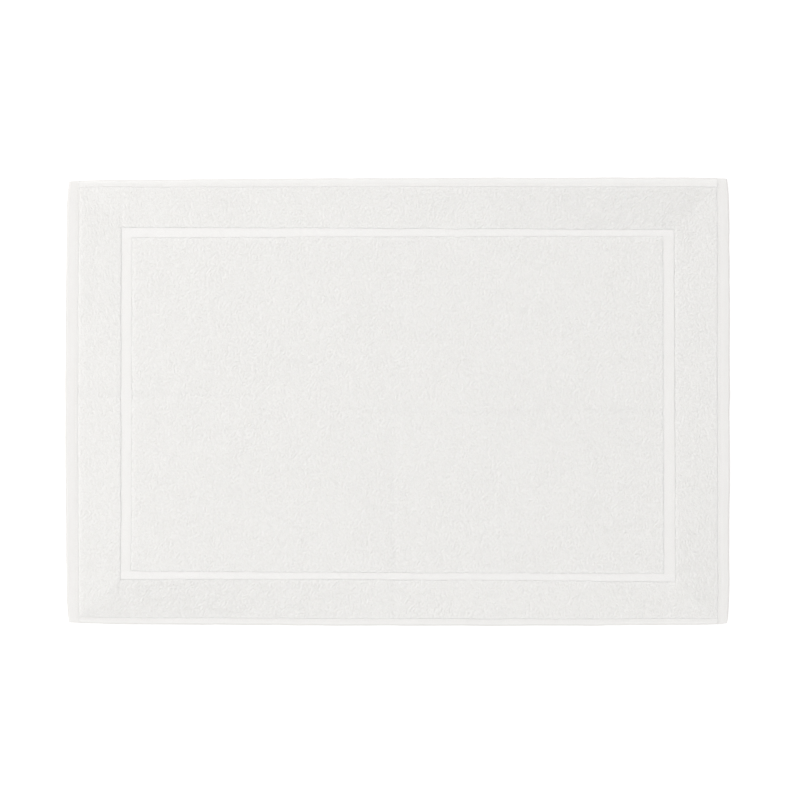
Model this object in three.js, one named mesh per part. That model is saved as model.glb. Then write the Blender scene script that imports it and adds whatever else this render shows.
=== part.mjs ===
// Terry cotton bath mat, 750 x 506 mm, loop pile on both faces, double-turned lockstitched hems.
// Units are millimetres. +X runs along the long side, +Y towards the far long side, +Z is up.
// The origin is the middle of the underside, on the surface that the mat lies on.
import * as THREE from "three";

// Outline and height of the finished mat.
const MAT_LENGTH = 750;
const MAT_WIDTH = 506;
const CLOTH_THICKNESS = 1;
const PILE_HEIGHT = 3.1;
const PIECE_GAP = 0.3;

// Hems: the short ends are turned wider, and run the full width over the long sides' hems.
const END_HEM_WIDTH = 13;
const FAR_HEM_WIDTH = 8.5;
const NEAR_HEM_WIDTH = 7;

// The flat-woven frame: how far its outer edge lies in from each side, and how wide it is.
const FRAME_INSET_END = 63;
const FRAME_INSET_FAR = 58;
const FRAME_INSET_NEAR = 51;
const FRAME_WIDTH_END = 10.5;
const FRAME_WIDTH_SIDE = 8;
const FRAME_THICKNESS = 0.6;

// Sewing thread of the hems, and how far the seam lies in from each hem's open edge.
const THREAD_RADIUS = 0.2;
const THREAD_SIDES = 8;
const SEAM_FROM_EDGE = 1.6;
const SEAM_END_MARGIN = 2;

// Rounding of the pile's corners and rims.
const PILE_CORNER_RADIUS = 2.5;
const PILE_RIM_ROUNDING = 0.8;
const CURVE_STEPS = 4;
const FOLD_STEPS = 6;

// Heights, from the underside up: back pile, ground cloth, face pile.
const GROUND_BOTTOM = PILE_HEIGHT + PIECE_GAP;
const GROUND_TOP = GROUND_BOTTOM + CLOTH_THICKNESS;
const FACE_BOTTOM = GROUND_TOP + PIECE_GAP;

// A rectangle in plan, given by its four sides.
function rectangle(left, right, near, far) {
  return { left, right, near, far };
}

// The same rectangle made smaller (or larger, if the step is negative) on every side.
function shrunk(area, step) {
  return rectangle(area.left + step, area.right - step, area.near + step, area.far - step);
}

const mat = rectangle(-MAT_LENGTH / 2, MAT_LENGTH / 2, -MAT_WIDTH / 2, MAT_WIDTH / 2);
const insideHems = rectangle(
  mat.left + END_HEM_WIDTH,
  mat.right - END_HEM_WIDTH,
  mat.near + NEAR_HEM_WIDTH,
  mat.far - FAR_HEM_WIDTH
);
const frameOuter = rectangle(
  mat.left + FRAME_INSET_END,
  mat.right - FRAME_INSET_END,
  mat.near + FRAME_INSET_NEAR,
  mat.far - FRAME_INSET_FAR
);
const frameInner = rectangle(
  frameOuter.left + FRAME_WIDTH_END,
  frameOuter.right - FRAME_WIDTH_END,
  frameOuter.near + FRAME_WIDTH_SIDE,
  frameOuter.far - FRAME_WIDTH_SIDE
);

// Traces a round-cornered rectangle onto a shape or a hole.
function traceRounded(path, area, radius) {
  const { left, right, near, far } = area;
  path.moveTo(left + radius, near);
  path.lineTo(right - radius, near);
  path.absarc(right - radius, near + radius, radius, -Math.PI / 2, 0);
  path.lineTo(right, far - radius);
  path.absarc(right - radius, far - radius, radius, 0, Math.PI / 2);
  path.lineTo(left + radius, far);
  path.absarc(left + radius, far - radius, radius, Math.PI / 2, Math.PI);
  path.lineTo(left, near + radius);
  path.absarc(left + radius, near + radius, radius, Math.PI, 1.5 * Math.PI);
  return path;
}

// A flat slab over an area, with an optional opening, and rims rounded off by a bevel.
function slab(area, opening, height, rounding) {
  const outline = traceRounded(new THREE.Shape(), shrunk(area, rounding), PILE_CORNER_RADIUS);
  if (opening) {
    const hole = traceRounded(new THREE.Path(), shrunk(opening, -rounding), PILE_CORNER_RADIUS);
    outline.holes.push(hole);
  }
  const geometry = new THREE.ExtrudeGeometry(outline, {
    depth: height - 2 * rounding,
    curveSegments: CURVE_STEPS,
    bevelEnabled: rounding > 0,
    bevelSize: rounding,
    bevelThickness: rounding,
    bevelSegments: 2
  });
  geometry.translate(0, 0, rounding);
  return geometry;
}

// Points of a half turn in the hem's cross-section, from one ply to the next.
function halfTurn(centreX, centreZ, radius, startAngle, turn) {
  const points = [];
  for (let step = 0; step <= FOLD_STEPS; step += 1) {
    const angle = startAngle + (turn * Math.PI * step) / FOLD_STEPS;
    points.push(
      new THREE.Vector2(centreX + radius * Math.cos(angle), centreZ + radius * Math.sin(angle))
    );
  }
  return points;
}

// Sweeps a thickness along a centre line and returns the closed outline.
function strip(centreLine, thickness) {
  const above = [];
  const below = [];
  centreLine.forEach((point, index) => {
    const before = centreLine[Math.max(index - 1, 0)];
    const after = centreLine[Math.min(index + 1, centreLine.length - 1)];
    const along = after.clone().sub(before).normalize();
    const aside = new THREE.Vector2(-along.y, along.x).multiplyScalar(thickness / 2);
    above.push(point.clone().add(aside));
    below.push(point.clone().sub(aside));
  });
  return new THREE.Shape(above.concat(below.reverse()));
}

// A double-turned hem in cross-section: the cloth runs out to the mat's edge, turns under,
// comes back to the seam and turns in again, so that its cut edge is closed inside.
function hemSection(width) {
  const upper = GROUND_BOTTOM + CLOTH_THICKNESS / 2;
  const plyStep = CLOTH_THICKNESS + PIECE_GAP;
  const lower = upper - 2 * plyStep;
  const middle = lower + plyStep;
  const outerFold = (upper - lower) / 2;
  const innerFold = (middle - lower) / 2;
  const half = CLOTH_THICKNESS / 2;
  const outerTurnAt = half + outerFold;
  const innerTurnAt = width - half - innerFold;
  const centreLine = [
    new THREE.Vector2(width, upper),
    ...halfTurn(outerTurnAt, lower + outerFold, outerFold, Math.PI / 2, 1),
    ...halfTurn(innerTurnAt, lower + innerFold, innerFold, -Math.PI / 2, 1),
    new THREE.Vector2(outerTurnAt + PIECE_GAP, middle)
  ];
  return strip(centreLine, CLOTH_THICKNESS);
}

// White combed cotton: pile, flat weave and thread differ slightly in colour and roughness.
function cotton(color, roughness) {
  return new THREE.MeshStandardMaterial({ color, roughness, metalness: 0 });
}

const bathMat = new THREE.Group();

function addPiece(parent, name, geometry, material) {
  const piece = new THREE.Mesh(geometry, material);
  piece.name = name;
  parent.add(piece);
  return piece;
}

// Ground cloth: one flat weave from hem to hem, which every loop is pulled from.
const clothArea = shrunk(insideHems, PIECE_GAP);
addPiece(
  bathMat,
  "ground_cloth",
  slab(clothArea, null, CLOTH_THICKNESS, 0),
  cotton("#eeede9", 0.9)
).position.z = GROUND_BOTTOM;

// Loop pile of one face: a centre field, and a border between the frame and the hems.
function addPile(face, bottom) {
  const material = cotton("#edece9", 1);
  const centre = shrunk(frameInner, PIECE_GAP);
  const opening = shrunk(frameOuter, -PIECE_GAP);
  addPiece(
    bathMat,
    `${face}_pile_centre`,
    slab(centre, null, PILE_HEIGHT, PILE_RIM_ROUNDING),
    material
  ).position.z = bottom;
  addPiece(
    bathMat,
    `${face}_pile_border`,
    slab(clothArea, opening, PILE_HEIGHT, PILE_RIM_ROUNDING),
    material.clone()
  ).position.z = bottom;
}

addPile("face", FACE_BOTTOM);
addPile("back", 0);

// The frame: pile yarns woven in flat instead of looped, on each face of the ground cloth.
function addFrame(name, bottom) {
  addPiece(
    bathMat,
    name,
    slab(frameOuter, frameInner, FRAME_THICKNESS, 0),
    cotton("#f4f3ef", 0.8)
  ).position.z = bottom;
}

addFrame("woven_frame_face", FACE_BOTTOM);
addFrame("woven_frame_back", GROUND_BOTTOM - PIECE_GAP - FRAME_THICKNESS);

// One side of the mat. Inside its group, x runs in from the mat's edge and y along the side.
function addHemmedSide(name, hemWidth, length, edgeDistance, turn) {
  const side = new THREE.Group();
  side.position.set(-edgeDistance * Math.cos(turn), -edgeDistance * Math.sin(turn), 0);
  side.rotation.z = turn;
  bathMat.add(side);

  const hem = new THREE.ExtrudeGeometry(hemSection(hemWidth), { depth: length, bevelEnabled: false });
  hem.translate(0, 0, -length / 2);
  hem.rotateX(Math.PI / 2);
  addPiece(side, `hem_${name}`, hem, cotton("#f2f1ed", 0.85));

  const seamLength = length - 2 * SEAM_END_MARGIN;
  const hemBottom = GROUND_BOTTOM - 2 * (CLOTH_THICKNESS + PIECE_GAP);
  const seams = {
    needle_thread: GROUND_TOP + PIECE_GAP + THREAD_RADIUS,
    bobbin_thread: hemBottom - PIECE_GAP - THREAD_RADIUS
  };
  for (const [thread, height] of Object.entries(seams)) {
    const bar = new THREE.CylinderGeometry(THREAD_RADIUS, THREAD_RADIUS, seamLength, THREAD_SIDES);
    const piece = addPiece(side, `${thread}_${name}`, bar, cotton("#f5f4f0", 0.7));
    piece.position.set(hemWidth - SEAM_FROM_EDGE, 0, height);
  }
}

const sideHemLength = MAT_LENGTH - 2 * (END_HEM_WIDTH + PIECE_GAP);
addHemmedSide("left", END_HEM_WIDTH, MAT_WIDTH, MAT_LENGTH / 2, 0);
addHemmedSide("right", END_HEM_WIDTH, MAT_WIDTH, MAT_LENGTH / 2, Math.PI);
addHemmedSide("near", NEAR_HEM_WIDTH, sideHemLength, MAT_WIDTH / 2, Math.PI / 2);
addHemmedSide("far", FAR_HEM_WIDTH, sideHemLength, MAT_WIDTH / 2, -Math.PI / 2);

export default bathMat;
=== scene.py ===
import bpy
import numpy as np
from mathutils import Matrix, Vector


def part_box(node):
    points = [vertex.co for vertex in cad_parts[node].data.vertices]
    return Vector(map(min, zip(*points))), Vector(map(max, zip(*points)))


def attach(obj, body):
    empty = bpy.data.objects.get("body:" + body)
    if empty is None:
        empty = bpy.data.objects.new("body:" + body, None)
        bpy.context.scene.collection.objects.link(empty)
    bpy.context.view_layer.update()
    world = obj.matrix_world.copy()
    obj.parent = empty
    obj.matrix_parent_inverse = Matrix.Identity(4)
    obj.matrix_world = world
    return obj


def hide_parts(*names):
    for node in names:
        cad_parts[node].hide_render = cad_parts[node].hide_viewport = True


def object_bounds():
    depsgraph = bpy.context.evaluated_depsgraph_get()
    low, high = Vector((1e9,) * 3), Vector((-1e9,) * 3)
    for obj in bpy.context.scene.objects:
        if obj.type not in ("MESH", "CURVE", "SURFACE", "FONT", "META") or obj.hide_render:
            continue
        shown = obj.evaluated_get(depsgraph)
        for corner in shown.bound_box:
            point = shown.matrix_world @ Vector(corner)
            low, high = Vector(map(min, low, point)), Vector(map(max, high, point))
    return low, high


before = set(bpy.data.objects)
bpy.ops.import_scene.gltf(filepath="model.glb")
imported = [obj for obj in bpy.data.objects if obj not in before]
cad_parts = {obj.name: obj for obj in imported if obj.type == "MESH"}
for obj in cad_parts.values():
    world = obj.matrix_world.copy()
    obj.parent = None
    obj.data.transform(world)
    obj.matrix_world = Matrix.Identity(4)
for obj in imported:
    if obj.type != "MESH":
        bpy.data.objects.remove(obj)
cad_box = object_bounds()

# Studio. The mat lies on a seamless white table, face up, with the camera square above it. A soft
# bright dome lights it from all round, and one large lamp on the left draws the pile's edges.
CAMERA_LENS = 100
CAMERA_SENSOR = 36
CAMERA_CLIP = (0.05, 60)
CAMERA_HEIGHT = 2.519
CAMERA_OVER = (0.0027, 0.0013)
KEY_PLACE = (-1.6, 0.5, 1.35)
KEY_SIZE = 1.7
KEY_WATTS = 8.4
KEY_COLOUR = (1.0, 0.985, 0.96)
DOME_STRENGTH = 0.985
TABLE_SIZE = 12
TABLE_GLOW = 0.22

scene = bpy.context.scene
camera_data = bpy.data.cameras.new("camera")
camera_data.lens = CAMERA_LENS
camera_data.sensor_width = CAMERA_SENSOR
camera_data.clip_start, camera_data.clip_end = CAMERA_CLIP
camera = bpy.data.objects.new("camera", camera_data)
camera.location = (*CAMERA_OVER, CAMERA_HEIGHT)
scene.collection.objects.link(camera)
scene.camera = camera
scene.view_settings.view_transform = "Standard"


def linear_from_hex(code):
    """An sRGB hex colour as linear RGBA."""
    parts = [int(code[i : i + 2], 16) / 255 for i in (1, 3, 5)]
    return (*[c / 12.92 if c <= 0.04045 else ((c + 0.055) / 1.055) ** 2.4 for c in parts], 1.0)


def add_node(tree, kind, settings=None, links=None):
    """Adds a node, sets its attributes and input values, and links inputs to other nodes' outputs."""
    node = tree.nodes.new(kind)
    for name, value in (settings or {}).items():
        if isinstance(name, int) or name in node.inputs:
            node.inputs[name].default_value = value
        else:
            setattr(node, name, value)
    for name, output in (links or {}).items():
        tree.links.new(output, node.inputs[name])
    return node


def new_material(name):
    """An empty node material, and its node tree."""
    material = bpy.data.materials.new(name)
    material.use_nodes = True
    material.node_tree.nodes.clear()
    return material, material.node_tree


# Matt white lacquer on a smooth board: an even pale ground with hardly any gloss, lit a little from
# within so that the shadows on it stay soft.
table_paint, tree = new_material("matt_white_lacquer")
lacquer = add_node(
    tree,
    "ShaderNodeBsdfPrincipled",
    {"Base Color": linear_from_hex("#F7F7F7"), "Roughness": 0.9, "Specular IOR Level": 0.1},
)
lacquer.inputs["Emission Color"].default_value = (1, 1, 1, 1)
lacquer.inputs["Emission Strength"].default_value = TABLE_GLOW
add_node(tree, "ShaderNodeOutputMaterial", links={"Surface": lacquer.outputs[0]})
bpy.ops.mesh.primitive_plane_add(size=TABLE_SIZE, location=(0, 0, 0))
table = bpy.context.object
table.name = "table"
table.data.materials.append(table_paint)

world = bpy.data.worlds.new("soft_dome")
world.use_nodes = True
world.node_tree.nodes["Background"].inputs["Color"].default_value = (1, 1, 1, 1)
world.node_tree.nodes["Background"].inputs["Strength"].default_value = DOME_STRENGTH
scene.world = world

key_data = bpy.data.lights.new("window_lamp", "AREA")
key_data.size = KEY_SIZE
key_data.energy = KEY_WATTS
key_data.color = KEY_COLOUR
key = bpy.data.objects.new("window_lamp", key_data)
key.location = KEY_PLACE
key.rotation_euler = (-key.location).to_track_quat("-Z", "Y").to_euler()
scene.collection.objects.link(key)


# How the cloth lies. A washed mat isn't a true rectangle: its sides bow, its corners draw in and
# its woven frame wanders. Everything below is made flat, in millimetres, and laid through here.
MM = 0.001
HALF_LENGTH, HALF_WIDTH = np.array(cad_box[1][:2]) / MM
frame_low, frame_high = (np.array(corner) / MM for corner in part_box("woven_frame_face"))
field_low, field_high = (np.array(corner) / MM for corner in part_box("face_pile_centre"))
cloth_low, cloth_high = (np.array(corner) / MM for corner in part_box("ground_cloth"))
CORNER_TUCK = 2.4
CORNER_REACH = 15
SIDE_TUCK_SHARE = 0.6
LOCAL_STRAY = 0.3
STRAY_GRAIN = (38, 34)
LIFT = 0.35
# Ripples of the whole cloth: height and spacing.
BROAD_RIPPLE = (0.22, 130)
FINE_RIPPLE = (0.13, 48)
CREASE_FADE = 18

# Lines that run along the mat and how far each strays at its left, middle and right.
ALONG_LINES = [
    (-HALF_WIDTH, (1.5, -1.1, 0.1)),
    (cloth_low[1], (1.0, -1.0, -0.5)),
    (frame_low[1], (1.0, 1.1, -2.6)),
    (field_low[1], (1.2, -1.2, -2.2)),
    (field_high[1], (-1.9, 0.1, 0.1)),
    (frame_high[1], (0.6, -0.8, -2.4)),
    (cloth_high[1], (-1.7, -1.2, -1.2)),
    (HALF_WIDTH, (-3.0, -0.5, 0.2)),
]
# Lines that run across the mat and how far each strays at its near end, middle and far end.
ACROSS_LINES = [
    (-HALF_LENGTH, (0.5, -1.2, 1.0)),
    (cloth_low[0], (0.7, -0.2, 1.1)),
    (frame_low[0], (-0.4, 0.3, 0.7)),
    (field_low[0], (-1.4, -0.4, -0.1)),
    (field_high[0], (0.8, -0.1, -0.7)),
    (frame_high[0], (1.5, 0.4, -1.1)),
    (cloth_high[0], (1.2, 0.5, 0.3)),
    (HALF_LENGTH, (0.3, 1.0, 0.3)),
]


def bow(ends, place):
    """A smooth curve through three values, at places -1, 0 and 1."""
    low, middle, high = ends
    return middle + place * (high - low) / 2 + place**2 * ((high + low) / 2 - middle)


def stray(lines, across, place):
    """How far a point strays, between the lines on either side of it."""
    shift = bow(lines[0][1], place)
    for (low, low_ends), (high, high_ends) in zip(lines, lines[1:]):
        share = np.clip((across - low) / (high - low), 0, 1)
        shift = shift + share * (bow(high_ends, place) - bow(low_ends, place))
    return shift


def drift(x, y, grain, seed):
    """Soft random hills and dips from -1 to 1, a grain in millimetres apart."""
    reach = int(2 * HALF_LENGTH / grain) + 12
    knots = np.random.default_rng(seed).uniform(-1, 1, (reach, reach))
    u = np.asarray(x) / grain + reach / 2
    v = np.asarray(y) / grain + reach / 2
    i, j = np.floor(u).astype(int), np.floor(v).astype(int)
    fu, fv = u - i, v - j
    fu, fv = fu * fu * (3 - 2 * fu), fv * fv * (3 - 2 * fv)
    near = knots[i, j] * (1 - fu) + knots[i + 1, j] * fu
    far = knots[i, j + 1] * (1 - fu) + knots[i + 1, j + 1] * fu
    return near * (1 - fv) + far * fv


def crease(across, along, start, end, width):
    """A soft fold line left from storage, fading out at both of its ends."""
    fade_in = 1 / (1 + np.exp(-(along - start) / CREASE_FADE))
    fade_out = 1 / (1 + np.exp((along - end) / CREASE_FADE))
    return -np.exp(-((across / width) ** 2)) * fade_in * fade_out


def ripple(x, y):
    """How far the whole cloth lifts off the table."""
    (broad, broad_grain), (fine, fine_grain) = BROAD_RIPPLE, FINE_RIPPLE
    lift = LIFT + broad * drift(x, y, broad_grain, 11) + fine * drift(x, y, fine_grain, 12)
    return np.maximum(lift, 0)


def lay(x, y, z):
    """Moves points of the flat mat to where they lie, and turns them to metres."""
    to_side = HALF_WIDTH - np.abs(y)
    to_end = HALF_LENGTH - np.abs(x)
    tuck = CORNER_TUCK * np.exp(-to_side / CORNER_REACH) * np.exp(-to_end / CORNER_REACH)
    local_x = LOCAL_STRAY * drift(x, y, STRAY_GRAIN[0], 13)
    local_y = LOCAL_STRAY * drift(x, y, STRAY_GRAIN[1], 14)
    along = x + stray(ACROSS_LINES, x, y / HALF_WIDTH) + local_x - np.sign(x) * tuck
    across = y + stray(ALONG_LINES, y, x / HALF_LENGTH) + local_y
    across = across - np.sign(y) * tuck * SIDE_TUCK_SHARE
    return np.stack([along, across, z + ripple(x, y)], -1) * MM


# Ground cloth. One plain weave of cotton runs from hem to hem, about a millimetre thick, and holds
# the roots of every loop.
GROUND_CELL = 4
GROUND_MARGIN = 0.3
GROUND_BOTTOM, GROUND_TOP = cloth_low[2], cloth_high[2]
MAP_EDGE, MAP_SPAN = 0.01, 0.98
# Cotton yarn's refraction, how far light spreads in a flat weave, and the size of its patches of
# tone and of its slubs, in millimetres.
COTTON_IOR = 1.5
WEAVE_GLOW = 0.9
TONE_PATCH = 22
SLUB_SIZE = 1.3
# How fast the tone turns from painted shade to the outward one as a yarn rises, and from where.
WEAVE_GAIN, WEAVE_START = 0.9, 0.25
# Blender's wave repeats every pi / 10 metres at scale 1, and a weave repeats every two yarns.
WAVE_REPEAT = np.pi / 10


def grid_faces(rows, columns, ring_rows=False, ring_columns=False):
    """Four-sided faces between the points of a grid, whose rows or columns may close on themselves."""
    i, j = np.meshgrid(
        np.arange(rows if ring_rows else rows - 1),
        np.arange(columns if ring_columns else columns - 1),
        indexing="ij",
    )
    next_i, next_j = (i + 1) % rows, (j + 1) % columns
    here, up = i * columns, next_i * columns
    return np.stack([here + j, here + next_j, up + next_j, up + j], -1).reshape(-1, 4)


def make_piece(name, points, quads, flat_map, caps=()):
    """A mesh object from points in metres, four-sided faces and a few many-sided end caps."""
    loops = np.concatenate([quads.ravel(), *caps]).astype(np.int32)
    cap_starts = quads.size + np.cumsum([0, *[len(cap) for cap in caps]])[:-1]
    starts = np.concatenate([np.arange(len(quads)) * 4, cap_starts]).astype(np.int32)
    mesh = bpy.data.meshes.new(name)
    mesh.vertices.add(len(points))
    mesh.vertices.foreach_set("co", np.asarray(points, np.float32).ravel())
    mesh.loops.add(len(loops))
    mesh.loops.foreach_set("vertex_index", loops)
    mesh.polygons.add(len(starts))
    mesh.polygons.foreach_set("loop_start", starts)
    mesh.update(calc_edges=True)
    mesh.shade_smooth()
    layer = mesh.uv_layers.new(name="OFBake")
    layer.data.foreach_set("uv", np.asarray(flat_map, np.float32)[loops].ravel())
    piece = bpy.data.objects.new(name, mesh)
    scene.collection.objects.link(piece)
    return piece


def second_tone(tree, colour, code):
    """Turns a colour towards another where the mesh's second_tone says so, and returns it."""
    where = add_node(tree, "ShaderNodeAttribute", {"attribute_name": "second_tone"})
    return add_node(
        tree,
        "ShaderNodeMix",
        {"data_type": "RGBA", 7: linear_from_hex(code)},
        {0: where.outputs["Fac"], 6: colour.outputs[2]},
    )


def mark_tone(piece, amount):
    """Stores on a mesh how far each point turns to its material's second tone."""
    tone = piece.data.attributes.new("second_tone", "FLOAT", "POINT")
    tone.data.foreach_set("value", np.asarray(amount, np.float32).ravel())


# The pitch is drawn at about twice the real yarns' spacing, so that the weave shows.
def flat_weave(name, light, shade, hollow_shade, pitch, relief, roughness, other=None):
    """Cotton woven flat: over-and-under yarns at a pitch in mm, slubs, and faint tone changes."""
    material, tree = new_material(name)
    place = add_node(tree, "ShaderNodeTexCoord").outputs["Object"]
    tone = add_node(
        tree,
        "ShaderNodeTexNoise",
        {"Scale": 1 / (TONE_PATCH * MM), "Detail": 3.0, "Roughness": 0.6},
        {"Vector": place},
    )
    colour = add_node(
        tree,
        "ShaderNodeMix",
        {"data_type": "RGBA", 6: linear_from_hex(shade), 7: linear_from_hex(light)},
        {0: tone.outputs["Fac"]},
    )
    # The second tone is painted shade, laid on where the mesh's second_tone marks it.
    if other:
        colour = second_tone(tree, colour, other)
    yarns = []
    for direction in ("X", "Y"):
        wave = add_node(
            tree,
            "ShaderNodeTexWave",
            {
                "wave_type": "BANDS",
                "bands_direction": direction,
                "Scale": WAVE_REPEAT / (2 * pitch * MM),
                "Distortion": 0.4,
                "Detail": 1.0,
                "Detail Scale": 2.0,
            },
            {"Vector": place},
        )
        centred = add_node(
            tree, "ShaderNodeMath", {"operation": "SUBTRACT", 1: 0.5}, {0: wave.outputs["Fac"]}
        )
        yarns.append(centred.outputs[0])
    crossing = add_node(
        tree, "ShaderNodeMath", {"operation": "MULTIPLY"}, {0: yarns[0], 1: yarns[1]}
    )
    slub = add_node(
        tree,
        "ShaderNodeTexNoise",
        {"Scale": 1 / (SLUB_SIZE * MM), "Detail": 2.0},
        {"Vector": place},
    )
    height = add_node(
        tree,
        "ShaderNodeMath",
        {"operation": "MULTIPLY_ADD", 1: 2.0},
        {0: crossing.outputs[0], 2: slub.outputs["Fac"]},
    )
    outward = add_node(
        tree,
        "ShaderNodeMath",
        {"operation": "MULTIPLY_ADD", 1: WEAVE_GAIN, 2: WEAVE_START},
        {0: height.outputs[0]},
    )
    # Painted shade: darker where the yarns dip between their crossings and slubs.
    colour = add_node(
        tree,
        "ShaderNodeMix",
        {"data_type": "RGBA", 6: linear_from_hex(hollow_shade)},
        {0: outward.outputs[0], 7: colour.outputs[2]},
    )
    bump = add_node(
        tree,
        "ShaderNodeBump",
        {"Strength": 0.6, "Distance": relief * MM},
        {"Height": height.outputs[0]},
    )
    cotton = add_node(
        tree,
        "ShaderNodeBsdfPrincipled",
        {"Roughness": roughness, "IOR": COTTON_IOR, "Sheen Weight": 0.05, "Sheen Roughness": 0.5},
        {"Base Color": colour.outputs[2], "Normal": bump.outputs[0]},
    )
    cotton.inputs["Specular IOR Level"].default_value = 0.12
    cotton.inputs["Subsurface Weight"].default_value = 1.0
    cotton.inputs["Subsurface Radius"].default_value = (1, 1, 1)
    cotton.inputs["Subsurface Scale"].default_value = WEAVE_GLOW * MM
    add_node(tree, "ShaderNodeOutputMaterial", links={"Surface": cotton.outputs[0]})
    return material


def ground_rows(low, high):
    """Even stations across the ground cloth, which reach a little past it into the hems' folds."""
    low, high = low - GROUND_MARGIN, high + GROUND_MARGIN
    return np.linspace(low, high, int((high - low) / GROUND_CELL) + 1)


# The slab is one closed skin: along the top from left to right and back along the bottom.
top_x = ground_rows(cloth_low[0], cloth_high[0])
ground_x = np.concatenate([top_x, top_x[::-1]])
ground_z = np.concatenate([np.full(len(top_x), GROUND_TOP), np.full(len(top_x), GROUND_BOTTOM)])
ground_y = ground_rows(cloth_low[1], cloth_high[1])
y_all, x_all = np.meshgrid(ground_y, ground_x, indexing="ij")
z_all = np.broadcast_to(ground_z, x_all.shape)
ground_columns = len(ground_x)
near_cap = np.arange(ground_columns)[::-1]
far_cap = np.arange(ground_columns) + ground_columns * (len(ground_y) - 1)
round_skin = np.linspace(MAP_EDGE, MAP_EDGE + MAP_SPAN, ground_columns)
round_skin = np.broadcast_to(round_skin, x_all.shape).ravel()
ground_cloth = make_piece(
    "plain_woven_ground",
    lay(x_all.ravel(), y_all.ravel(), z_all.ravel()),
    grid_faces(len(ground_y), ground_columns, ring_columns=True),
    np.stack([round_skin, (y_all.ravel() - ground_y[0]) / np.ptp(ground_y)], -1),
    caps=[near_cap, far_cap],
)
# Plain-woven cotton ground, bleached and unprinted: matt, with a fine even over-and-under grain.
ground_cloth.data.materials.append(
    flat_weave("cotton_plain_weave", "#F1F0EC", "#EAE9E5", "#E0DEDA", 0.8, 0.25, 0.9)
)
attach(ground_cloth, "root")
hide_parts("ground_cloth")


# Loop pile. Cotton yarns rise from the ground in thousands of loops on both faces, about 3 mm tall.
# They lean and curl after washing, and the outermost ones lean out over the frame and the hems.
LOOP_PITCH = (2.3, 2.6)
LOOP_HALF_LENGTH = 1.75
LOOP_SIZES = (0.8, 1.25)
YARN_RADIUS = 0.8
LOOP_DROP = 0.85
LOOP_CURL = 0.64
# How far loops stray in place, as a share of the pitch, in heading, in radians, and in height.
PLACE_SCATTER = 0.3
HEADING_SCATTER, HEADING_DRIFT, HEADING_GRAIN = 0.5, 0.35, 9
TIP_SCATTER, TIP_DRIFT, TIP_GRAIN = 0.22, 0.2, 14
PILE_FLOOR = -1.4
STAMP_CELL = 0.35
FACE_TIP = 7.45
BACK_TIP = 0.1
BACK_LOWEST = 0.0
FACE_CELL = 0.75
BACK_CELL = 1.1
PILE_GAP = 0.3
RIM_BACK = {"face": 0.7, "back": 0.1}
RIM_PUSH = np.array([0.5, 0.42, 0.28, 0.12])
RIM_SHARE = np.array([0.0, 0.3, 0.58, 0.8])
RIM_STEP = 0.5
RIM_FRAY, FRAY_GRAIN = 0.35, 2.4
SHOULDER_DROP = 1.1
SHOULDER_WIDTH = 1.7
RIM_CALM = 0.45
LOOP_RELIEF = 0.6
BACK_RELIEF = 0.6
# The loops near the left end lie a little flatter, from how the mat was stored.
FLAT_END = 0.2
FLAT_END_REACH = 160
FLAT_END_FADE = 110
# How far from the frame the painted highlight on the pile's rims reaches, in millimetres.
RIM_GLINT = 1.4

# Folds left from storage, as depth, place across, wander with its grain and seed, start, end and
# width: three that run along the mat, one across it, and one that slants over the near right corner.
FOLDS_ALONG = [
    (0.8, -11, 2.5, 60, 21, -20, 330, 4.5),
    (0.8, 7, 2.0, 60, 22, -380, -150, 5),
    (0.6, 78, 2.0, 40, 26, 330, 365, 4),
]
FOLD_ACROSS = (0.8, -4, 1.5, 50, 23, -260, -55, 4)
SLANT_DEPTH, SLANT_WIDTH = 0.7, 3.5
SLANT_PLACE, SLANT_SLOPE, SLANT_SPAN = (292, -188), 0.29, (-250, -195)
# The frame's end bands run on past its corners as faint channels that fade towards the hems.
CHANNEL_DEPTH, CHANNEL_OFFSET, CHANNEL_WIDTH, CHANNEL_FADE = 0.8, 1, 2.5, 30
# Uneven height of the whole pile: amount, grain and seed.
PILE_SWELLS = [(0.25, 26, 24), (0.15, 7, 25)]


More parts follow.
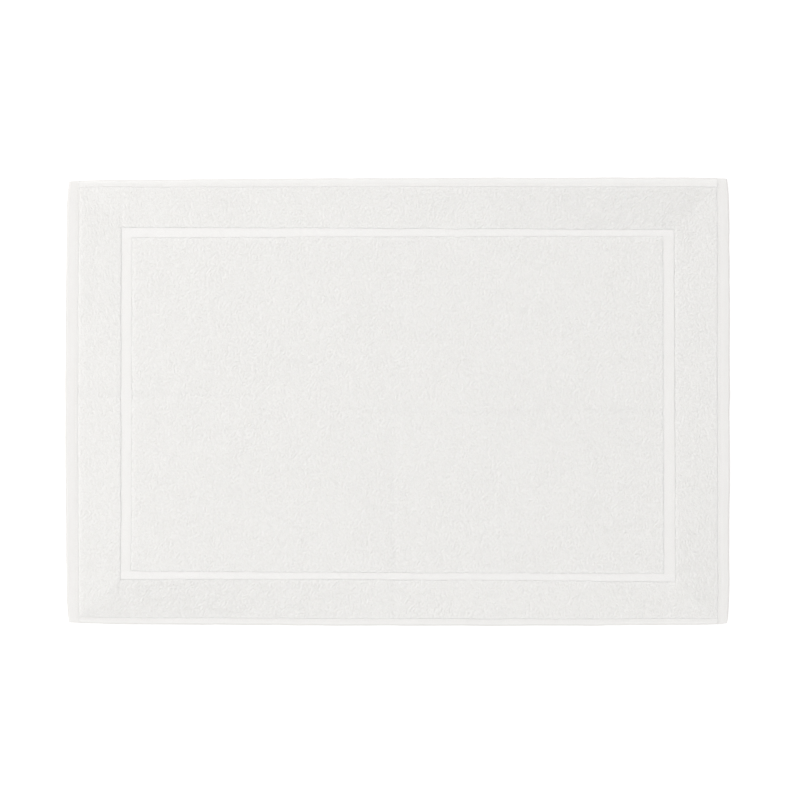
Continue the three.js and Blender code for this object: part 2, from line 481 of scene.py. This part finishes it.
def loop_field(seed):
    """Heights of all loops of one face on a fine raster, 0 at the usual tip and negative below."""
    rng = np.random.default_rng(seed)
    step_x, step_y = LOOP_PITCH
    rows = np.arange(-HALF_WIDTH, HALF_WIDTH, step_y)
    places = np.arange(-HALF_LENGTH, HALF_LENGTH, step_x)
    y, x = np.meshgrid(rows, places, indexing="ij")
    x = x + (np.arange(len(rows)) % 2 * step_x / 2)[:, None]
    x = (x + rng.normal(0, PLACE_SCATTER * step_x, x.shape)).ravel()
    y = (y + rng.normal(0, PLACE_SCATTER * step_y, y.shape)).ravel()
    heading = np.pi / 2 + rng.normal(0, HEADING_SCATTER, x.shape)
    heading = heading + HEADING_DRIFT * drift(x, y, HEADING_GRAIN, seed + 1)
    size = rng.uniform(*LOOP_SIZES, x.shape)
    curl = rng.normal(0, LOOP_CURL, x.shape)
    tip = rng.normal(0, TIP_SCATTER, x.shape) + TIP_DRIFT * drift(x, y, TIP_GRAIN, seed + 2)

    columns = int(2 * HALF_LENGTH / STAMP_CELL) + 1
    lines = int(2 * HALF_WIDTH / STAMP_CELL) + 1
    field = np.full((lines, columns), PILE_FLOOR)
    reach = int(np.ceil(1.04 * LOOP_SIZES[1] * LOOP_HALF_LENGTH / STAMP_CELL))
    centre_i = np.round((y + HALF_WIDTH) / STAMP_CELL).astype(int)
    centre_j = np.round((x + HALF_LENGTH) / STAMP_CELL).astype(int)
    cos, sin = np.cos(heading), np.sin(heading)
    for down in range(-reach, reach + 1):
        for aside in range(-reach, reach + 1):
            i, j = centre_i + down, centre_j + aside
            inside = (i >= 0) & (i < lines) & (j >= 0) & (j < columns)
            dx = j * STAMP_CELL - HALF_LENGTH - x
            dy = i * STAMP_CELL - HALF_WIDTH - y
            u = (dx * cos + dy * sin) / (LOOP_HALF_LENGTH * size)
            v = (dy * cos - dx * sin) / (YARN_RADIUS * size) + curl * u**2
            covers = inside & (u**2 < 1) & (v**2 < 1)
            yarn_side = YARN_RADIUS * size * (1 - np.sqrt(1 - np.minimum(v**2, 1)))
            height = tip - LOOP_DROP * u**2 - yarn_side
            np.maximum.at(field, (i[covers], j[covers]), height[covers])
    return field


def sample(field, x, y):
    """The loop field's height at points, blended between the raster's cells."""
    u = np.clip((x + HALF_LENGTH) / STAMP_CELL, 0, field.shape[1] - 1.001)
    v = np.clip((y + HALF_WIDTH) / STAMP_CELL, 0, field.shape[0] - 1.001)
    j, i = u.astype(int), v.astype(int)
    fu, fv = u - j, v - i
    low = field[i, j] * (1 - fu) + field[i, j + 1] * fu
    high = field[i + 1, j] * (1 - fu) + field[i + 1, j + 1] * fu
    return low * (1 - fv) + high * fv


def pressed(x, y):
    """Where the pile's surface dips: storage folds, and the frame's lines running on to the hems."""
    dips = 0
    for depth, place, wander, grain, seed, start, end, width in FOLDS_ALONG:
        off_line = y - place + wander * drift(x, y, grain, seed)
        dips = dips + depth * crease(off_line, x, start, end, width)
    slant_x, slant_y = SLANT_PLACE
    off_line = x - slant_x - SLANT_SLOPE * (y - slant_y)
    dips = dips + SLANT_DEPTH * crease(off_line, y, *SLANT_SPAN, SLANT_WIDTH)
    depth, place, wander, grain, seed, start, end, width = FOLD_ACROSS
    off_line = x - place + wander * drift(x, y, grain, seed)
    dips = dips + depth * crease(off_line, y, start, end, width)
    outside = np.abs(y) - frame_high[1]
    fade = (outside > 0) * np.exp(-np.maximum(outside, 0) / CHANNEL_FADE)
    for line in (frame_low[0] - CHANNEL_OFFSET, field_high[0] + CHANNEL_OFFSET):
        dips = dips - CHANNEL_DEPTH * np.exp(-(((x - line) / CHANNEL_WIDTH) ** 2)) * fade
    for amount, grain, seed in PILE_SWELLS:
        dips = dips + amount * drift(x, y, grain, seed)
    return dips


def pile_surface(x, y, share, from_rim, field, face):
    """Heights of one pile piece: its roots at the ground cloth where share is 0, its tips at 1."""
    flattened = FLAT_END * np.clip((FLAT_END_REACH - HALF_LENGTH - x) / FLAT_END_FADE, 0, 1)
    relief = LOOP_RELIEF * (1 - flattened) * (1 - RIM_CALM * shoulder(from_rim) / SHOULDER_DROP)
    loops = relief * sample(field, x, y)
    if face == "face":
        roots, tips = GROUND_TOP, FACE_TIP + pressed(x, y) + loops - shoulder(from_rim)
    else:
        roots, tips = GROUND_BOTTOM, BACK_TIP - BACK_RELIEF * loops + shoulder(from_rim)
        tips = np.maximum(tips, BACK_LOWEST)
    return roots + (tips - roots) * share


def rim_ends(low, high, cell):
    """Grid stations from rim to rim: even places, outward push and share of the pile's height."""
    inner = np.linspace(low, high, int((high - low) / cell) + 1)
    steps = RIM_STEP * np.arange(len(RIM_PUSH), 0, -1)
    places = np.concatenate([low - steps, inner, high + steps[::-1]])
    push = np.concatenate([low - RIM_PUSH, inner, high + RIM_PUSH[::-1]])
    share = np.concatenate([RIM_SHARE, np.ones(len(inner)), RIM_SHARE[::-1]])
    return places, push, share


def shoulder(distance):
    """How much lower the loops stand near a rim, where nothing holds them upright."""
    return SHOULDER_DROP * np.exp(-np.maximum(distance, 0) / SHOULDER_WIDTH)


def fray(flat, pushed, x, y, seed):
    """Lets each loop of a rim lean out by its own amount."""
    return pushed + RIM_FRAY * np.sign(flat - pushed) * drift(x, y, FRAY_GRAIN, seed)


# What the pile's patches, loops, twisted yarns and fibres measure, in millimetres, and how far
# light spreads in it. The fibres are drawn far coarser than real ones, so that the fuzz shows.
PATCH_SIZE = 55
LOOP_TONE_SIZE = 2.4
PATCH_SHARE = 0.45
STRAND_SIZE = 0.8
FIBRE_SIZE = 0.5
FUZZ_RELIEF = 0.4
PILE_GLOW = 1.8
# How fast the tone turns from painted shade to the outward one as a yarn rises, and from where.
PILE_GAIN, PILE_START = 1.6, 0.2


def looped_pile(name, light, shade, rim, hollow_shade):
    """Looped cotton pile: fuzzy yarn, and a tone that changes a little by loop and by patch."""
    material, tree = new_material(name)
    place = add_node(tree, "ShaderNodeTexCoord").outputs["Object"]
    patches = add_node(
        tree,
        "ShaderNodeTexNoise",
        {"Scale": 1 / (PATCH_SIZE * MM), "Detail": 5.0, "Roughness": 0.65},
        {"Vector": place},
    )
    loops = add_node(
        tree,
        "ShaderNodeTexNoise",
        {"Scale": 1 / (LOOP_TONE_SIZE * MM), "Detail": 1.0},
        {"Vector": place},
    )
    blend = add_node(
        tree,
        "ShaderNodeMix",
        {0: PATCH_SHARE},
        {2: patches.outputs["Fac"], 3: loops.outputs["Fac"]},
    )
    colour = add_node(
        tree,
        "ShaderNodeMix",
        {"data_type": "RGBA", 6: linear_from_hex(shade), 7: linear_from_hex(light)},
        {0: blend.outputs[0]},
    )
    # Painted highlight: paler along the rims next to the frame.
    colour = second_tone(tree, colour, rim)
    strands = add_node(
        tree,
        "ShaderNodeTexVoronoi",
        {"Scale": 1 / (STRAND_SIZE * MM), "feature": "SMOOTH_F1"},
        {"Vector": place},
    )
    fibres = add_node(
        tree,
        "ShaderNodeTexNoise",
        {"Scale": 1 / (FIBRE_SIZE * MM), "Detail": 3.0},
        {"Vector": place},
    )
    height = add_node(
        tree,
        "ShaderNodeMath",
        {"operation": "MULTIPLY_ADD", 1: -0.8},
        {0: strands.outputs["Distance"], 2: fibres.outputs["Fac"]},
    )
    outward = add_node(
        tree,
        "ShaderNodeMath",
        {"operation": "MULTIPLY_ADD", 1: PILE_GAIN, 2: PILE_START},
        {0: height.outputs[0]},
    )
    # Painted shade: darker between the strands and where the fibres dip.
    colour = add_node(
        tree,
        "ShaderNodeMix",
        {"data_type": "RGBA", 6: linear_from_hex(hollow_shade)},
        {0: outward.outputs[0], 7: colour.outputs[2]},
    )
    bump = add_node(
        tree,
        "ShaderNodeBump",
        {"Strength": 0.6, "Distance": FUZZ_RELIEF * MM},
        {"Height": height.outputs[0]},
    )
    cotton = add_node(
        tree,
        "ShaderNodeBsdfPrincipled",
        {"Roughness": 1.0, "IOR": COTTON_IOR, "Sheen Weight": 0.08, "Sheen Roughness": 0.6},
        {"Base Color": colour.outputs[2], "Normal": bump.outputs[0]},
    )
    cotton.inputs["Subsurface Weight"].default_value = 1.0
    cotton.inputs["Subsurface Radius"].default_value = (1, 1, 1)
    cotton.inputs["Subsurface Scale"].default_value = PILE_GLOW * MM
    cotton.inputs["Specular IOR Level"].default_value = 0.06
    add_node(tree, "ShaderNodeOutputMaterial", links={"Surface": cotton.outputs[0]})
    return material


# Loose two-ply cotton loops: the surface scatters light, so it looks soft, matt and a little grey.
# Along the frame the outermost loops lean out, and a painted highlight makes them a little paler.
pile_cotton = looped_pile("terry_cotton_loops", "#F5F4F3", "#EEEDEC", "#F8F7F6", "#E7E6E4")


def finish_pile(piece, node):
    """Gives a piece of pile its cotton and body, and hides the part that it stands for."""
    piece.data.materials.append(pile_cotton)
    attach(piece, "root")
    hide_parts(node)
    return piece


def centre_pile(face, field, cell, seed):
    """The large field of loops inside the frame."""
    low, high = (np.array(corner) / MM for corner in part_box(f"{face}_pile_centre"))
    low, high = low + RIM_BACK[face], high - RIM_BACK[face]
    flat_x, push_x, share_x = rim_ends(low[0], high[0], cell)
    flat_y, push_y, share_y = rim_ends(low[1], high[1], cell)
    y, x = np.meshgrid(flat_y, flat_x, indexing="ij")
    pushed_y, pushed_x = np.meshgrid(push_y, push_x, indexing="ij")
    share = np.minimum(share_y[:, None], share_x[None, :])
    x_out, y_out = fray(x, pushed_x, x, y, seed), fray(y, pushed_y, x, y, seed + 1)
    from_side = np.minimum(y - low[1], high[1] - y)
    from_end = np.minimum(x - low[0], high[0] - x)
    from_rim = np.minimum(from_side, from_end)
    z = pile_surface(x, y, share, from_rim, field, face)
    rows, columns = x.shape
    quads = grid_faces(rows, columns)
    index = np.arange(rows * columns).reshape(rows, columns)
    rim = np.concatenate([index[0, :-1], index[:-1, -1], index[-1, :0:-1], index[:0:-1, 0]])
    rim = rim[::-1]
    if face == "back":
        quads, rim = quads[:, ::-1], rim[::-1]
    spread = np.stack([(x - flat_x[0]) / np.ptp(flat_x), (y - flat_y[0]) / np.ptp(flat_y)], -1)
    piece = make_piece(
        f"{face}_centre_loops",
        lay(x_out.ravel(), y_out.ravel(), z.ravel()),
        quads,
        MAP_EDGE + MAP_SPAN * spread.reshape(-1, 2),
        caps=[rim],
    )
    # Painted highlight along the rims, which all lie next to the frame.
    mark_tone(piece, np.exp(-np.maximum(from_rim, 0) / RIM_GLINT))
    return piece


def around(low, high, count_x, count_y):
    """Points round a rectangle, from its near left corner and anticlockwise, as x and y."""
    along, up = np.arange(count_x) / count_x, np.arange(count_y) / count_y
    (x0, y0), (x1, y1) = low, high
    x = [x0 + (x1 - x0) * along, x1 + 0 * up, x1 + (x0 - x1) * along, x0 + 0 * up]
    y = [y0 + 0 * along, y0 + (y1 - y0) * up, y1 + 0 * along, y1 + (y0 - y1) * up]
    return np.concatenate(x), np.concatenate(y)


def ring_grid(outer, inner, steps_out, steps_in, cell):
    """Stations from a ring's outer rim to its inner one, as stacked rows of points round it."""
    (outer_low, outer_high), (inner_low, inner_high) = np.array([outer, inner])[:, :, :2]
    count_x = int((outer_high[0] - outer_low[0]) / cell)
    count_y = int((outer_high[1] - outer_low[1]) / cell)
    width = inner_low[0] - outer_low[0]
    between = np.linspace(0, 1, int(width / cell) + 1)
    rows = []
    for step in steps_out:
        rows.append(around(outer_low - step, outer_high + step, count_x, count_y))
    for t in between:
        low = outer_low + (inner_low - outer_low) * t
        high = outer_high + (inner_high - outer_high) * t
        rows.append(around(low, high, count_x, count_y))
    for step in steps_in:
        rows.append(around(inner_low + step, inner_high - step, count_x, count_y))
    x, y = np.array(rows).transpose(1, 0, 2)
    return x, y, len(between)


def ring_map(x, y):
    """A flat map of a ring: each point where it lies in the ring's own plan."""
    across = 0.5 + MAP_SPAN * x / np.ptp(x)
    up = 0.5 + MAP_SPAN * (y - y.mean()) / np.ptp(y)
    return np.stack([across, up], -1).reshape(-1, 2)


def border_pile(face, field, cell, seed):
    """The band of loops between the woven frame and the hems."""
    low, high = (np.array(corner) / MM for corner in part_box(f"{face}_pile_border"))
    back = RIM_BACK[face]
    outer = [low + back, high - back]
    inner = [frame_low - PILE_GAP - back, frame_high + PILE_GAP + back]
    steps = RIM_STEP * np.arange(len(RIM_PUSH), 0, -1)
    x, y, count = ring_grid(outer, inner, steps, steps[::-1], cell)
    pushed_x, pushed_y, _ = ring_grid(outer, inner, RIM_PUSH, RIM_PUSH[::-1], cell)
    share = np.concatenate([RIM_SHARE, np.ones(count), RIM_SHARE[::-1]])
    width = inner[0][0] - outer[0][0]
    depth = np.linspace(0, width, count)
    depth = np.concatenate([RIM_PUSH * 0, depth, RIM_PUSH * 0 + width])
    from_rim = np.minimum(depth, width - depth)[:, None]
    x_out, y_out = fray(x, pushed_x, x, y, seed), fray(y, pushed_y, x, y, seed + 1)
    z = pile_surface(x, y, share[:, None], from_rim, field, face)
    quads = grid_faces(*x.shape, ring_rows=True, ring_columns=True)
    if face == "back":
        quads = quads[:, ::-1]
    points = lay(x_out.ravel(), y_out.ravel(), z.ravel())
    piece = make_piece(f"{face}_border_loops", points, quads, ring_map(x, y))
    # Painted highlight along the rim next to the frame.
    to_frame = width - depth[:, None]
    mark_tone(piece, np.exp(-to_frame / RIM_GLINT) + 0 * x)
    return piece


for face, cell, seed in (("face", FACE_CELL, 31), ("back", BACK_CELL, 61)):
    field = loop_field(seed)
    centre = centre_pile(face, field, cell, seed + 10)
    finish_pile(centre, f"{face}_pile_centre")
    border = border_pile(face, field, cell, seed + 20)
    finish_pile(border, f"{face}_pile_border")


# Woven frame. Along a narrow band the pile yarns are woven in flat, so it lies lower and smoother
# than the loops round it, with fine ribs. The same band shows on both faces. Its bands across the
# mat's ends carry a little painted shade, so that the long bands look the better lit beside them.
FRAME_CELL = 1.0
FRAME_TUCK = 1.1
FRAME_RISE = 0.7
EDGE_SHARE = np.array([0.0, 0.6, 0.9])
EDGE_PUSH = np.array([0.3, 0.25, 0.1])
# Puckers of the flat weave: height and grain.
FRAME_PUCKERS = ((0.18, 6), (0.12, 2.6))
# Painted shade on the bands across the ends: how fast it fades in, how far it reaches, how strong.
END_BAND_FADE = 2
END_BAND_REACH = (field_high[1] - field_low[1]) / 2
END_BAND_SHADE = 0.43

# Ribbed flat weave of the pile's own cotton: close and smooth, so it looks paler than the loops.
frame_cotton = flat_weave(
    "cotton_flat_rib", "#F7F6F5", "#F2F1F0", "#E6E5E3", 0.9, 0.3, 0.85, "#EEEDEB"
)


def woven_frame(face, low_z, high_z):
    """A flat ring of ribbed weave, tucked a little way under the pile on both sides."""
    outer = [frame_low - FRAME_TUCK, frame_high + FRAME_TUCK]
    inner = [field_low + FRAME_TUCK, field_high - FRAME_TUCK]
    x, y, count = ring_grid(outer, inner, EDGE_PUSH, EDGE_PUSH[::-1], FRAME_CELL)
    share = np.concatenate([EDGE_SHARE, np.ones(count), EDGE_SHARE[::-1]])[:, None]
    (broad, broad_grain), (fine, fine_grain) = FRAME_PUCKERS
    pucker = broad * drift(x, y, broad_grain, 41) + fine * drift(x, y, fine_grain, 42)
    if face == "face":
        z = low_z + (high_z + FRAME_RISE + pucker - low_z) * share
    else:
        z = high_z + (low_z - FRAME_RISE - pucker - high_z) * share
    quads = grid_faces(*x.shape, ring_rows=True, ring_columns=True)
    if face == "back":
        quads = quads[:, ::-1]
    points = lay(x.ravel(), y.ravel(), z.ravel())
    piece = make_piece(f"{face}_flat_band", points, quads, ring_map(x, y))
    # Painted shade on the bands across the mat's ends.
    past_field = (np.abs(x) - field_high[0] + END_BAND_FADE) / END_BAND_FADE
    within_end = np.abs(y - y.mean()) < END_BAND_REACH
    mark_tone(piece, END_BAND_SHADE * np.clip(past_field, 0, 1) * within_end)
    piece.data.materials.append(frame_cotton)
    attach(piece, "root")
    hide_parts(f"woven_frame_{face}")
    return piece


frame_pieces = [
    woven_frame("face", GROUND_TOP, frame_high[2]),
    woven_frame("back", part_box("woven_frame_back")[0][2] / MM, GROUND_BOTTOM),
]


# Hems. The cloth's flat-woven margin is turned under twice, so three plies lie on each other with
# the cut edge inside, and sewn down along the inner side. End hems lie over the side hems' ends.
PLY = 1.5
PLY_STEP = 1.72
PLY_END = 3
END_STUB = 0.06
RAW_EDGE_IN = 1.2
TURN_STEPS = 9
HEM_PROUD = 1.5
HEM_MIDDLE = GROUND_TOP + HEM_PROUD - PLY / 2 - PLY_STEP
HEM_STEP = 0.75
SECTION_STEP = 0.6
SEAM_FROM_PILE = 1.6
STITCH = 3.0
HOLE_WIDTH = 0.65
HEM_PUFF, PUFF_GRAIN = 0.18, 17
HEM_PUCKER, PUCKER_GRAIN = 0.12, 5
HEM_WANDER, WANDER_GRAIN = 0.35, 21
HEM_LIFT = {"left": -0.25, "right": 0.0, "near": 0.1, "far": 0.15}
HEM_JOIN = 1.6
HEM_DROOP = 0.4
DROOP_REACH = 4.5
SEAM_PINCH = 0.04
# Painted shade on the hems: its width and strength per side at the outer fold, its strength and reach
# towards the outer edge, strongest on the right and near sides; and a darker end-hem tone.
FOLD_SHADE_WIDTH = 1.3
OUTER_PAINTED_SHADE = {"left": 0.2, "right": 0.1, "near": 0.15, "far": 0.1}
OUTER_REACH = 5
END_HEM_DULL = 0.11
FOLD_PAINTED_SHADE = {"left": 0.55, "right": 1.0, "near": 0.9, "far": 0.6}

# The same flat weave at the cloth's margin, turned over, with painted shade along its outer folds.
hem_cotton = flat_weave(
    "cotton_hem_weave", "#F8F7F6", "#F2F1F0", "#E7E6E4", 0.8, 0.28, 0.85, "#CDCAC7"
)

# Each side's hem: its width, and which way it goes from the mat's edge inwards.
SIDES = {
    "left": (np.ptp([c[0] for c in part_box("hem_left")]) / MM, (1, 0)),
    "right": (np.ptp([c[0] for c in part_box("hem_right")]) / MM, (-1, 0)),
    "near": (np.ptp([c[1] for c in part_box("hem_near")]) / MM, (0, 1)),
    "far": (np.ptp([c[1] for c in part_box("hem_far")]) / MM, (0, -1)),
}


def hem_centre_line(width):
    """The middle of the folded cloth in section: out along the top, under, and turned in again."""
    upper = HEM_MIDDLE + PLY_STEP
    lower = HEM_MIDDLE - PLY_STEP
    outer, inner = PLY_STEP, PLY_STEP / 2
    out_at, in_at = PLY / 2 + outer, width - PLY / 2 - inner
    turn = np.linspace(0, np.pi, TURN_STEPS)
    out_turn, in_turn = out_at - outer * np.sin(turn), in_at + inner * np.sin(turn)
    u = np.concatenate([[width + PLY_END], out_turn, in_turn, [out_at + RAW_EDGE_IN]])
    out_turn, in_turn = outer + outer * np.cos(turn), inner - inner * np.cos(turn)
    z = np.concatenate([[upper], lower + out_turn, lower + in_turn, [lower + PLY_STEP]])
    run = np.concatenate([[0], np.cumsum(np.hypot(np.diff(u), np.diff(z)))])
    even = np.linspace(0, run[-1], int(run[-1] / SECTION_STEP) + 1)
    return np.interp(even, run, u), np.interp(even, run, z)


def hem_section(width):
    """The closed outline of the folded hem in section, half a ply on either side of its middle."""
    u, z = hem_centre_line(width)
    along_u, along_z = np.gradient(u), np.gradient(z)
    length = np.hypot(along_u, along_z)
    off_u, off_z = along_z / length * PLY / 2, -along_u / length * PLY / 2
    outline_u = np.concatenate([u - off_u, (u + off_u)[::-1]])
    outline_z = np.concatenate([z - off_z, (z + off_z)[::-1]])
    return outline_u, outline_z


def hem_shape(side, s, u, z):
    """Lays points of a hem: s along the side, u in from the edge, z up, with puff, droop and pinch."""
    width, inwards = SIDES[side]
    seam = width - SEAM_FROM_PILE
    if inwards[0]:
        # Past the ground cloth's corners the upper ply stops at the seam.
        reach = np.clip(np.minimum(cloth_high[1] - s, s - cloth_low[1]) / PLY_END, END_STUB, 1)
        u = np.minimum(u, width) + np.maximum(u - width, 0) * reach
    phase = (s / STITCH) % 1
    hole = np.exp(-((np.minimum(phase, 1 - phase) * STITCH / HOLE_WIDTH) ** 2))
    pinch = SEAM_PINCH * np.exp(-((u - seam) ** 2)) * (0.6 + 0.4 * hole)
    to_seam = np.clip(u / seam, 0, 1)
    puff = HEM_PUFF * np.sin(np.pi * to_seam) * (1 + 0.5 * drift(s, u, PUFF_GRAIN, 51))
    swell = puff + HEM_PUCKER * drift(s, u / 3, PUCKER_GRAIN, 54) * to_seam
    upper = np.clip((z - HEM_MIDDLE) / PLY_STEP, 0, 1)
    swell = swell + HEM_LIFT[side] * np.clip(u / width, 0, 1)
    swell = swell - HEM_JOIN * np.clip((u - width) / PLY_END, 0, 1)
    z = HEM_MIDDLE + (z - HEM_MIDDLE) * (1 - pinch) + swell * upper
    z = z - HEM_DROOP * np.clip(1 - u / DROOP_REACH, 0, 1) ** 1.5
    edge_x, edge_y = -inwards[0] * HALF_LENGTH, -inwards[1] * HALF_WIDTH
    wander = HEM_WANDER * drift(s, 0 * s, WANDER_GRAIN, 52 + len(side))
    x = edge_x + inwards[0] * (u + wander) + abs(inwards[1]) * s
    y = edge_y + inwards[1] * (u + wander) + abs(inwards[0]) * s
    return lay(x, y, z)


def swept_skin(stations, outline, inside_out):
    """Faces of a closed outline swept along a side, and the caps on its two ends."""
    quads = grid_faces(stations, outline, ring_columns=True)
    first = np.arange(outline)
    last = first + outline * (stations - 1)
    if inside_out:
        return quads[:, ::-1], [first, last[::-1]]
    return quads, [first[::-1], last]


def folded_hem(side):
    """One side's hem, swept along the side as a folded strip of cloth."""
    width, inwards = SIDES[side]
    low, high = (np.array(corner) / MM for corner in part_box(f"hem_{side}"))
    axis = 1 if inwards[0] else 0
    u, z = hem_section(width)
    stations = np.linspace(low[axis], high[axis], int((high[axis] - low[axis]) / HEM_STEP) + 1)
    s_all, u_all = np.meshgrid(stations, u, indexing="ij")
    z_all = np.broadcast_to(z, s_all.shape)
    points = hem_shape(side, s_all.ravel(), u_all.ravel(), z_all.ravel())
    quads, caps = swept_skin(len(stations), len(u), inwards in ((1, 0), (0, -1)))
    along = (s_all - stations[0]).ravel() / np.ptp(stations)
    around_fold = np.tile(np.linspace(0, 1, len(u)), len(stations))
    flat_map = MAP_EDGE + MAP_SPAN * np.stack([along, around_fold], -1)
    piece = make_piece(f"{side}_turned_hem", points, quads, flat_map, caps)
    # Painted shade along the outer fold and towards the outer edge; the end hems a little darker
    # throughout.
    painted_shade_and_end_tone = FOLD_PAINTED_SHADE[side] * np.exp(-((u_all / FOLD_SHADE_WIDTH) ** 2))
    painted_shade_and_end_tone = painted_shade_and_end_tone + OUTER_PAINTED_SHADE[side] * np.exp(-u_all / OUTER_REACH) + END_HEM_DULL * abs(inwards[0])
    mark_tone(piece, np.clip(painted_shade_and_end_tone, 0, 1))
    piece.data.materials.append(hem_cotton)
    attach(piece, "root")
    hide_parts(f"hem_{side}")
    return piece


hem_pieces = [folded_hem(side) for side in SIDES]


# Seam threads. Each hem is sewn with a lockstitch of two-ply thread, 3 mm to the stitch: the needle
# thread runs along the face and dips at every hole, where it locks with the bobbin thread below.
THREAD_RADIUS = 0.22
STEPS_PER_STITCH = 10
THREAD_SIDES = 10
PLY_TWIST = 1.7
PLY_GROOVE = 0.2
HOLE_DEPTH = 0.55
DIP_WIDTH = 0.14
THREAD_RISE = 0.6
MAP_TURN = 7
# Lint on the thread, drawn far coarser than real fibres, so that it shows.
LINT_SIZE = 0.4
LINT_RELIEF = 0.05

# Mercerised cotton thread: smoother and brighter than the cloth, with two twisted plies.
sewing_cotton, tree = new_material("mercerised_cotton_thread")
place = add_node(tree, "ShaderNodeTexCoord").outputs["Object"]
lint = add_node(
    tree, "ShaderNodeTexNoise", {"Scale": 1 / (LINT_SIZE * MM), "Detail": 2.0}, {"Vector": place}
)
colour = add_node(
    tree,
    "ShaderNodeMix",
    {"data_type": "RGBA", 6: linear_from_hex("#F3F2EE"), 7: linear_from_hex("#FBFAF7")},
    {0: lint.outputs["Fac"]},
)
nap = add_node(
    tree,
    "ShaderNodeBump",
    {"Strength": 0.4, "Distance": LINT_RELIEF * MM},
    {"Height": lint.outputs["Fac"]},
)
strand = add_node(
    tree,
    "ShaderNodeBsdfPrincipled",
    {"Roughness": 0.6, "IOR": COTTON_IOR, "Sheen Weight": 0.1},
    {"Base Color": colour.outputs[2], "Normal": nap.outputs[0]},
)
add_node(tree, "ShaderNodeOutputMaterial", links={"Surface": strand.outputs[0]})


def seam_thread(kind, side):
    """A row of lockstitches as one twisted two-ply strand, lying on the hem and dipping at each hole."""
    width, inwards = SIDES[side]
    low, high = (np.array(corner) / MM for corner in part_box(f"{kind}_thread_{side}"))
    axis = 1 if inwards[0] else 0
    count = int((high[axis] - low[axis]) / STITCH) * STEPS_PER_STITCH + 1
    s = np.linspace(low[axis], low[axis] + (count - 1) / STEPS_PER_STITCH * STITCH, count)
    phase = (s / STITCH) % 1
    dip = np.exp(-((np.minimum(phase, 1 - phase) / DIP_WIDTH) ** 2))
    rise = THREAD_RADIUS * THREAD_RISE - HOLE_DEPTH * dip
    sign = 1 if kind == "needle" else -1
    upper = HEM_MIDDLE + sign * (PLY_STEP + PLY / 2)
    turn = np.linspace(0, 2 * np.pi, THREAD_SIDES, endpoint=False)
    s_all, turn_all = np.meshgrid(s, turn, indexing="ij")
    plies = np.cos(2 * (turn_all - np.pi * s_all / PLY_TWIST))
    radius = THREAD_RADIUS * (1 - PLY_GROOVE + PLY_GROOVE * plies)
    u = width - SEAM_FROM_PILE + radius * np.cos(turn_all)
    z = upper + sign * (rise[:, None] + 0 * turn_all) + radius * np.sin(turn_all)
    points = hem_shape(side, s_all.ravel(), u.ravel(), z.ravel())
    quads, caps = swept_skin(count, THREAD_SIDES, inwards in ((-1, 0), (0, 1)))
    flat_map = np.stack([s_all.ravel() - s[0], turn_all.ravel() / MAP_TURN], -1) / [np.ptp(s), 1]
    piece = make_piece(f"{side}_{kind}_stitches", points, quads, flat_map, caps)
    piece.data.materials.append(sewing_cotton)
    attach(piece, "root")
    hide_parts(f"{kind}_thread_{side}")
    return piece


thread_pieces = [seam_thread(kind, side) for kind in ("needle", "bobbin") for side in SIDES]
